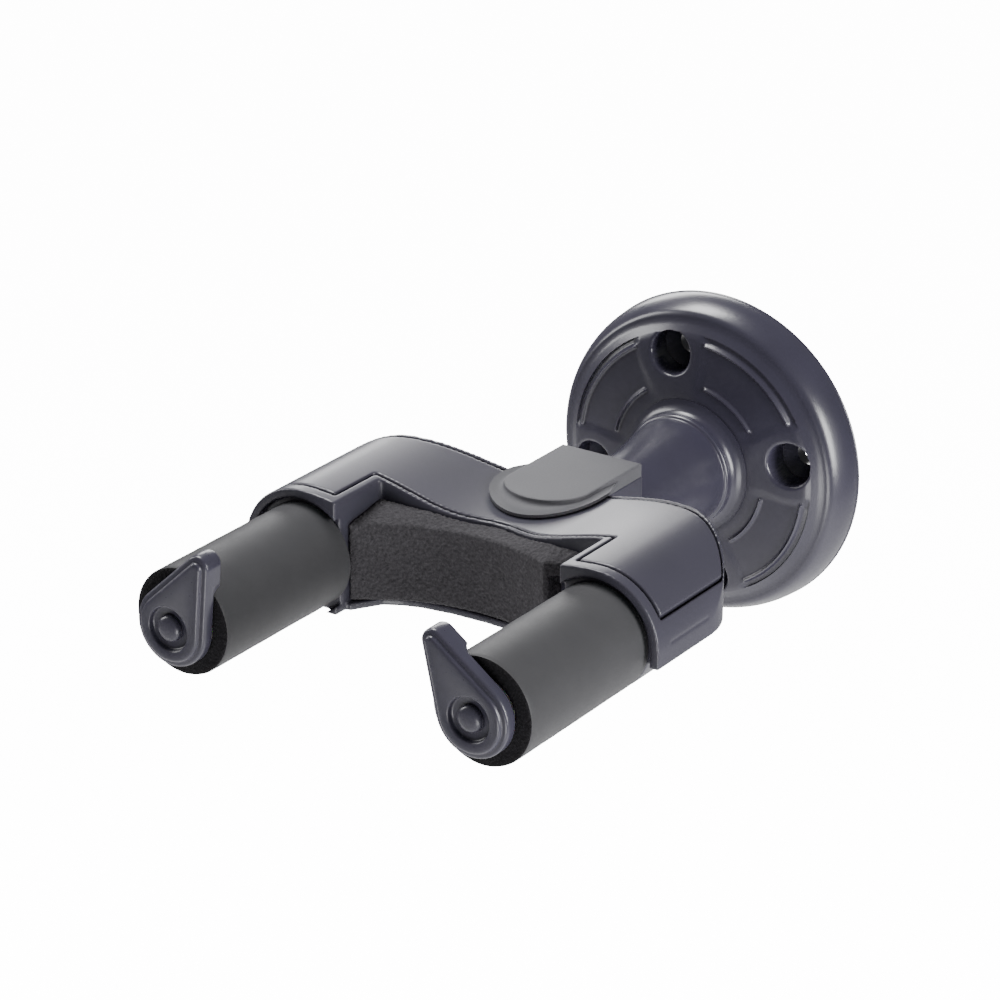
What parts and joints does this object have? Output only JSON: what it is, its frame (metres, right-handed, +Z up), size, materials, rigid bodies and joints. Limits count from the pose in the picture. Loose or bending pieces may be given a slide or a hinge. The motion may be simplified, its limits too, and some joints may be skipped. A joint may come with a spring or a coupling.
{
  "type": "wall guitar hanger",
  "caption": "Wall bracket that holds a guitar by its headstock on a padded yoke, with gates that turn shut under its weight.",
  "frame": {"origin": "centre of the wall plate's back face, on the wall's surface", "axes": "+Z up, +Y into the wall so the hanger reaches out along -Y, +X to the right seen from the front"},
  "size_m": [0.1082, 0.1596, 0.078],
  "materials": {
    "painted_metal": "dark grey satin powder coat",
    "moulded_plastic": "dark grey satin moulding",
    "cap_plastic": "mid grey matt moulding",
    "gate_plastic": "dark grey satin moulding",
    "sleeve_foam": "closed-cell foam with a smooth skin and cut ends",
    "pad_foam": "open-textured black foam",
    "zinc_plated_steel": "bright zinc plate",
    "white_nylon": "natural nylon"
  },
  "bodies": {
    "wall_mount": {"wall_plate": "painted_metal", "neck": "painted_metal", "neck_screw_1": "zinc_plated_steel", "neck_screw_2": "zinc_plated_steel", "neck_screw_3": "zinc_plated_steel", "swivel_bolt": "zinc_plated_steel"},
    "head": {"sliding_block": "moulded_plastic", "block_cap": "cap_plastic", "cap_peg_1": "zinc_plated_steel", "cap_peg_2": "zinc_plated_steel", "crosshead": "zinc_plated_steel", "crosshead_screw_left": "zinc_plated_steel", "crosshead_screw_right": "zinc_plated_steel", "swivel_washer": "zinc_plated_steel", "return_spring_left": "zinc_plated_steel", "return_spring_right": "zinc_plated_steel"},
    "yoke": {"lower_shell": "moulded_plastic", "top_cover": "moulded_plastic", "cover_screw_1": "zinc_plated_steel", "cover_screw_2": "zinc_plated_steel", "cover_screw_3": "zinc_plated_steel", "cover_screw_4": "zinc_plated_steel", "neck_pad": "pad_foam", "arm_tube_left": "zinc_plated_steel", "arm_tube_right": "zinc_plated_steel", "arm_sleeve_left": "sleeve_foam", "arm_sleeve_right": "sleeve_foam", "front_bush_left": "white_nylon", "front_bush_right": "white_nylon", "rear_bush_left": "white_nylon", "rear_bush_right": "white_nylon", "tube_screw_left": "zinc_plated_steel", "tube_screw_right": "zinc_plated_steel"},
    "gate_left": {"gate_left": "gate_plastic", "gate_rod_left": "zinc_plated_steel", "hub_screw_left": "gate_plastic", "crank_left": "zinc_plated_steel"},
    "gate_right": {"gate_right": "gate_plastic", "gate_rod_right": "zinc_plated_steel", "hub_screw_right": "gate_plastic", "crank_right": "zinc_plated_steel"}
  },
  "joints": [
    {"name": "head_swivel", "type": "hinge", "parent": "wall_mount", "child": "head", "pos_m": [0, -0.0486, 0], "axis": [0, 1, 0], "range_deg": [-20, 20]},
    {"name": "yoke_drop", "type": "slide", "parent": "head", "child": "yoke", "axis": [0, 0, -1], "range_m": [0, 0.008], "stiffness_N_per_m": 1500, "springref_m": -0.004, "deforming": ["return_spring_left", "return_spring_right"]},
    {"name": "gate_left_turn", "type": "hinge", "parent": "yoke", "child": "gate_left", "pos_m": [-0.0385, -0.1552, 0.0032], "axis": [0, 1, 0], "range_deg": [0, 62]},
    {"name": "gate_right_turn", "type": "hinge", "parent": "yoke", "child": "gate_right", "pos_m": [0.0385, -0.1552, 0.0032], "axis": [0, -1, 0], "range_deg": [0, 62]}
  ],
  "couplings": [
    {"joint": "gate_left_turn", "follows": "yoke_drop", "rad_per_m": 135.26},
    {"joint": "gate_right_turn", "follows": "yoke_drop", "rad_per_m": 135.26}
  ]
}
